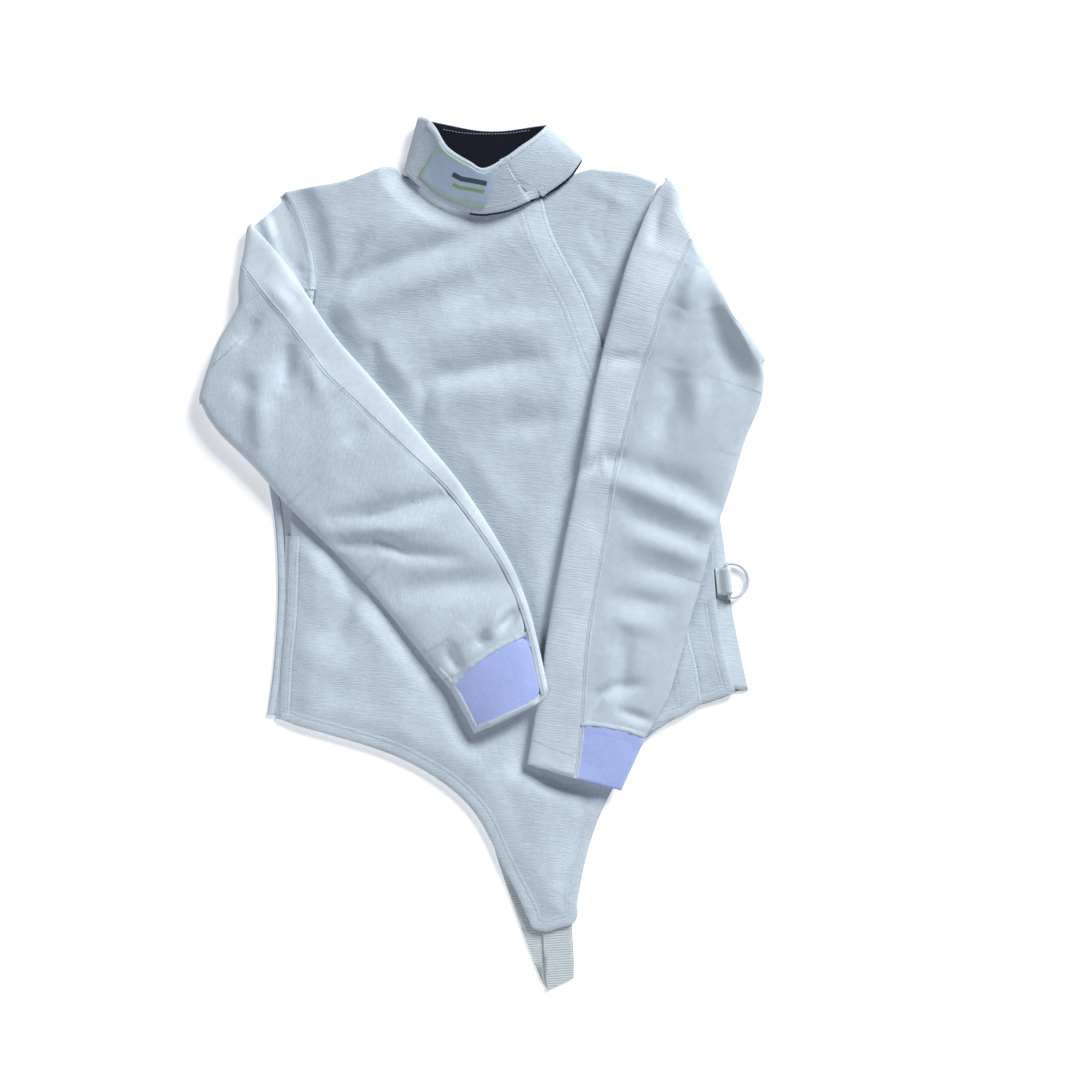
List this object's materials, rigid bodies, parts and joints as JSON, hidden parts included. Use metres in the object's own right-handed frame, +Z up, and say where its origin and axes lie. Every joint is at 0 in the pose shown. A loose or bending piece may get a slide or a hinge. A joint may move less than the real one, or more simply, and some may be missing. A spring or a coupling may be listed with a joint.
{
  "type": "fencing jacket",
  "caption": "White fencing jacket laid flat on its back, sleeves folded over the front, with a crotch strap and a D-ring.",
  "frame": {"origin": "middle of the jacket's footprint, on the surface it lies on", "axes": "+Y from the crotch strap to the collar, +Z up from the surface, the wearer's left at +X"},
  "size_m": [0.6223, 0.9591, 0.036],
  "materials": {
    "white_cloth": "woven, matt",
    "lilac_elastic": "knitted elastic, slight sheen",
    "navy_lining": "smooth lining cloth",
    "label_satin": "satin",
    "white_webbing": "ribbed webbing",
    "ring_lacquer": "white lacquer on steel wire"
  },
  "bodies": {
    "jacket": {"back_panel": "white_cloth", "left_front": "white_cloth", "front_panel": "white_cloth", "right_sleeve_front": "white_cloth", "right_sleeve_back": "white_cloth", "right_cuff": "lilac_elastic", "left_sleeve_front": "white_cloth", "left_sleeve_back": "white_cloth", "left_cuff": "lilac_elastic", "collar": "white_cloth", "collar_lining": "navy_lining", "collar_label": "label_satin", "crotch_strap": "white_webbing", "ring_tab": "white_webbing"},
    "d_ring": {"d_ring": "ring_lacquer"}
  },
  "joints": [
    {"name": "d_ring_swing", "type": "hinge", "parent": "jacket", "child": "d_ring", "pos_m": [0.2693, -0.0297, 0.00625], "axis": [0.1045, -0.9945, 0], "range_deg": [0, 150]}
  ]
}
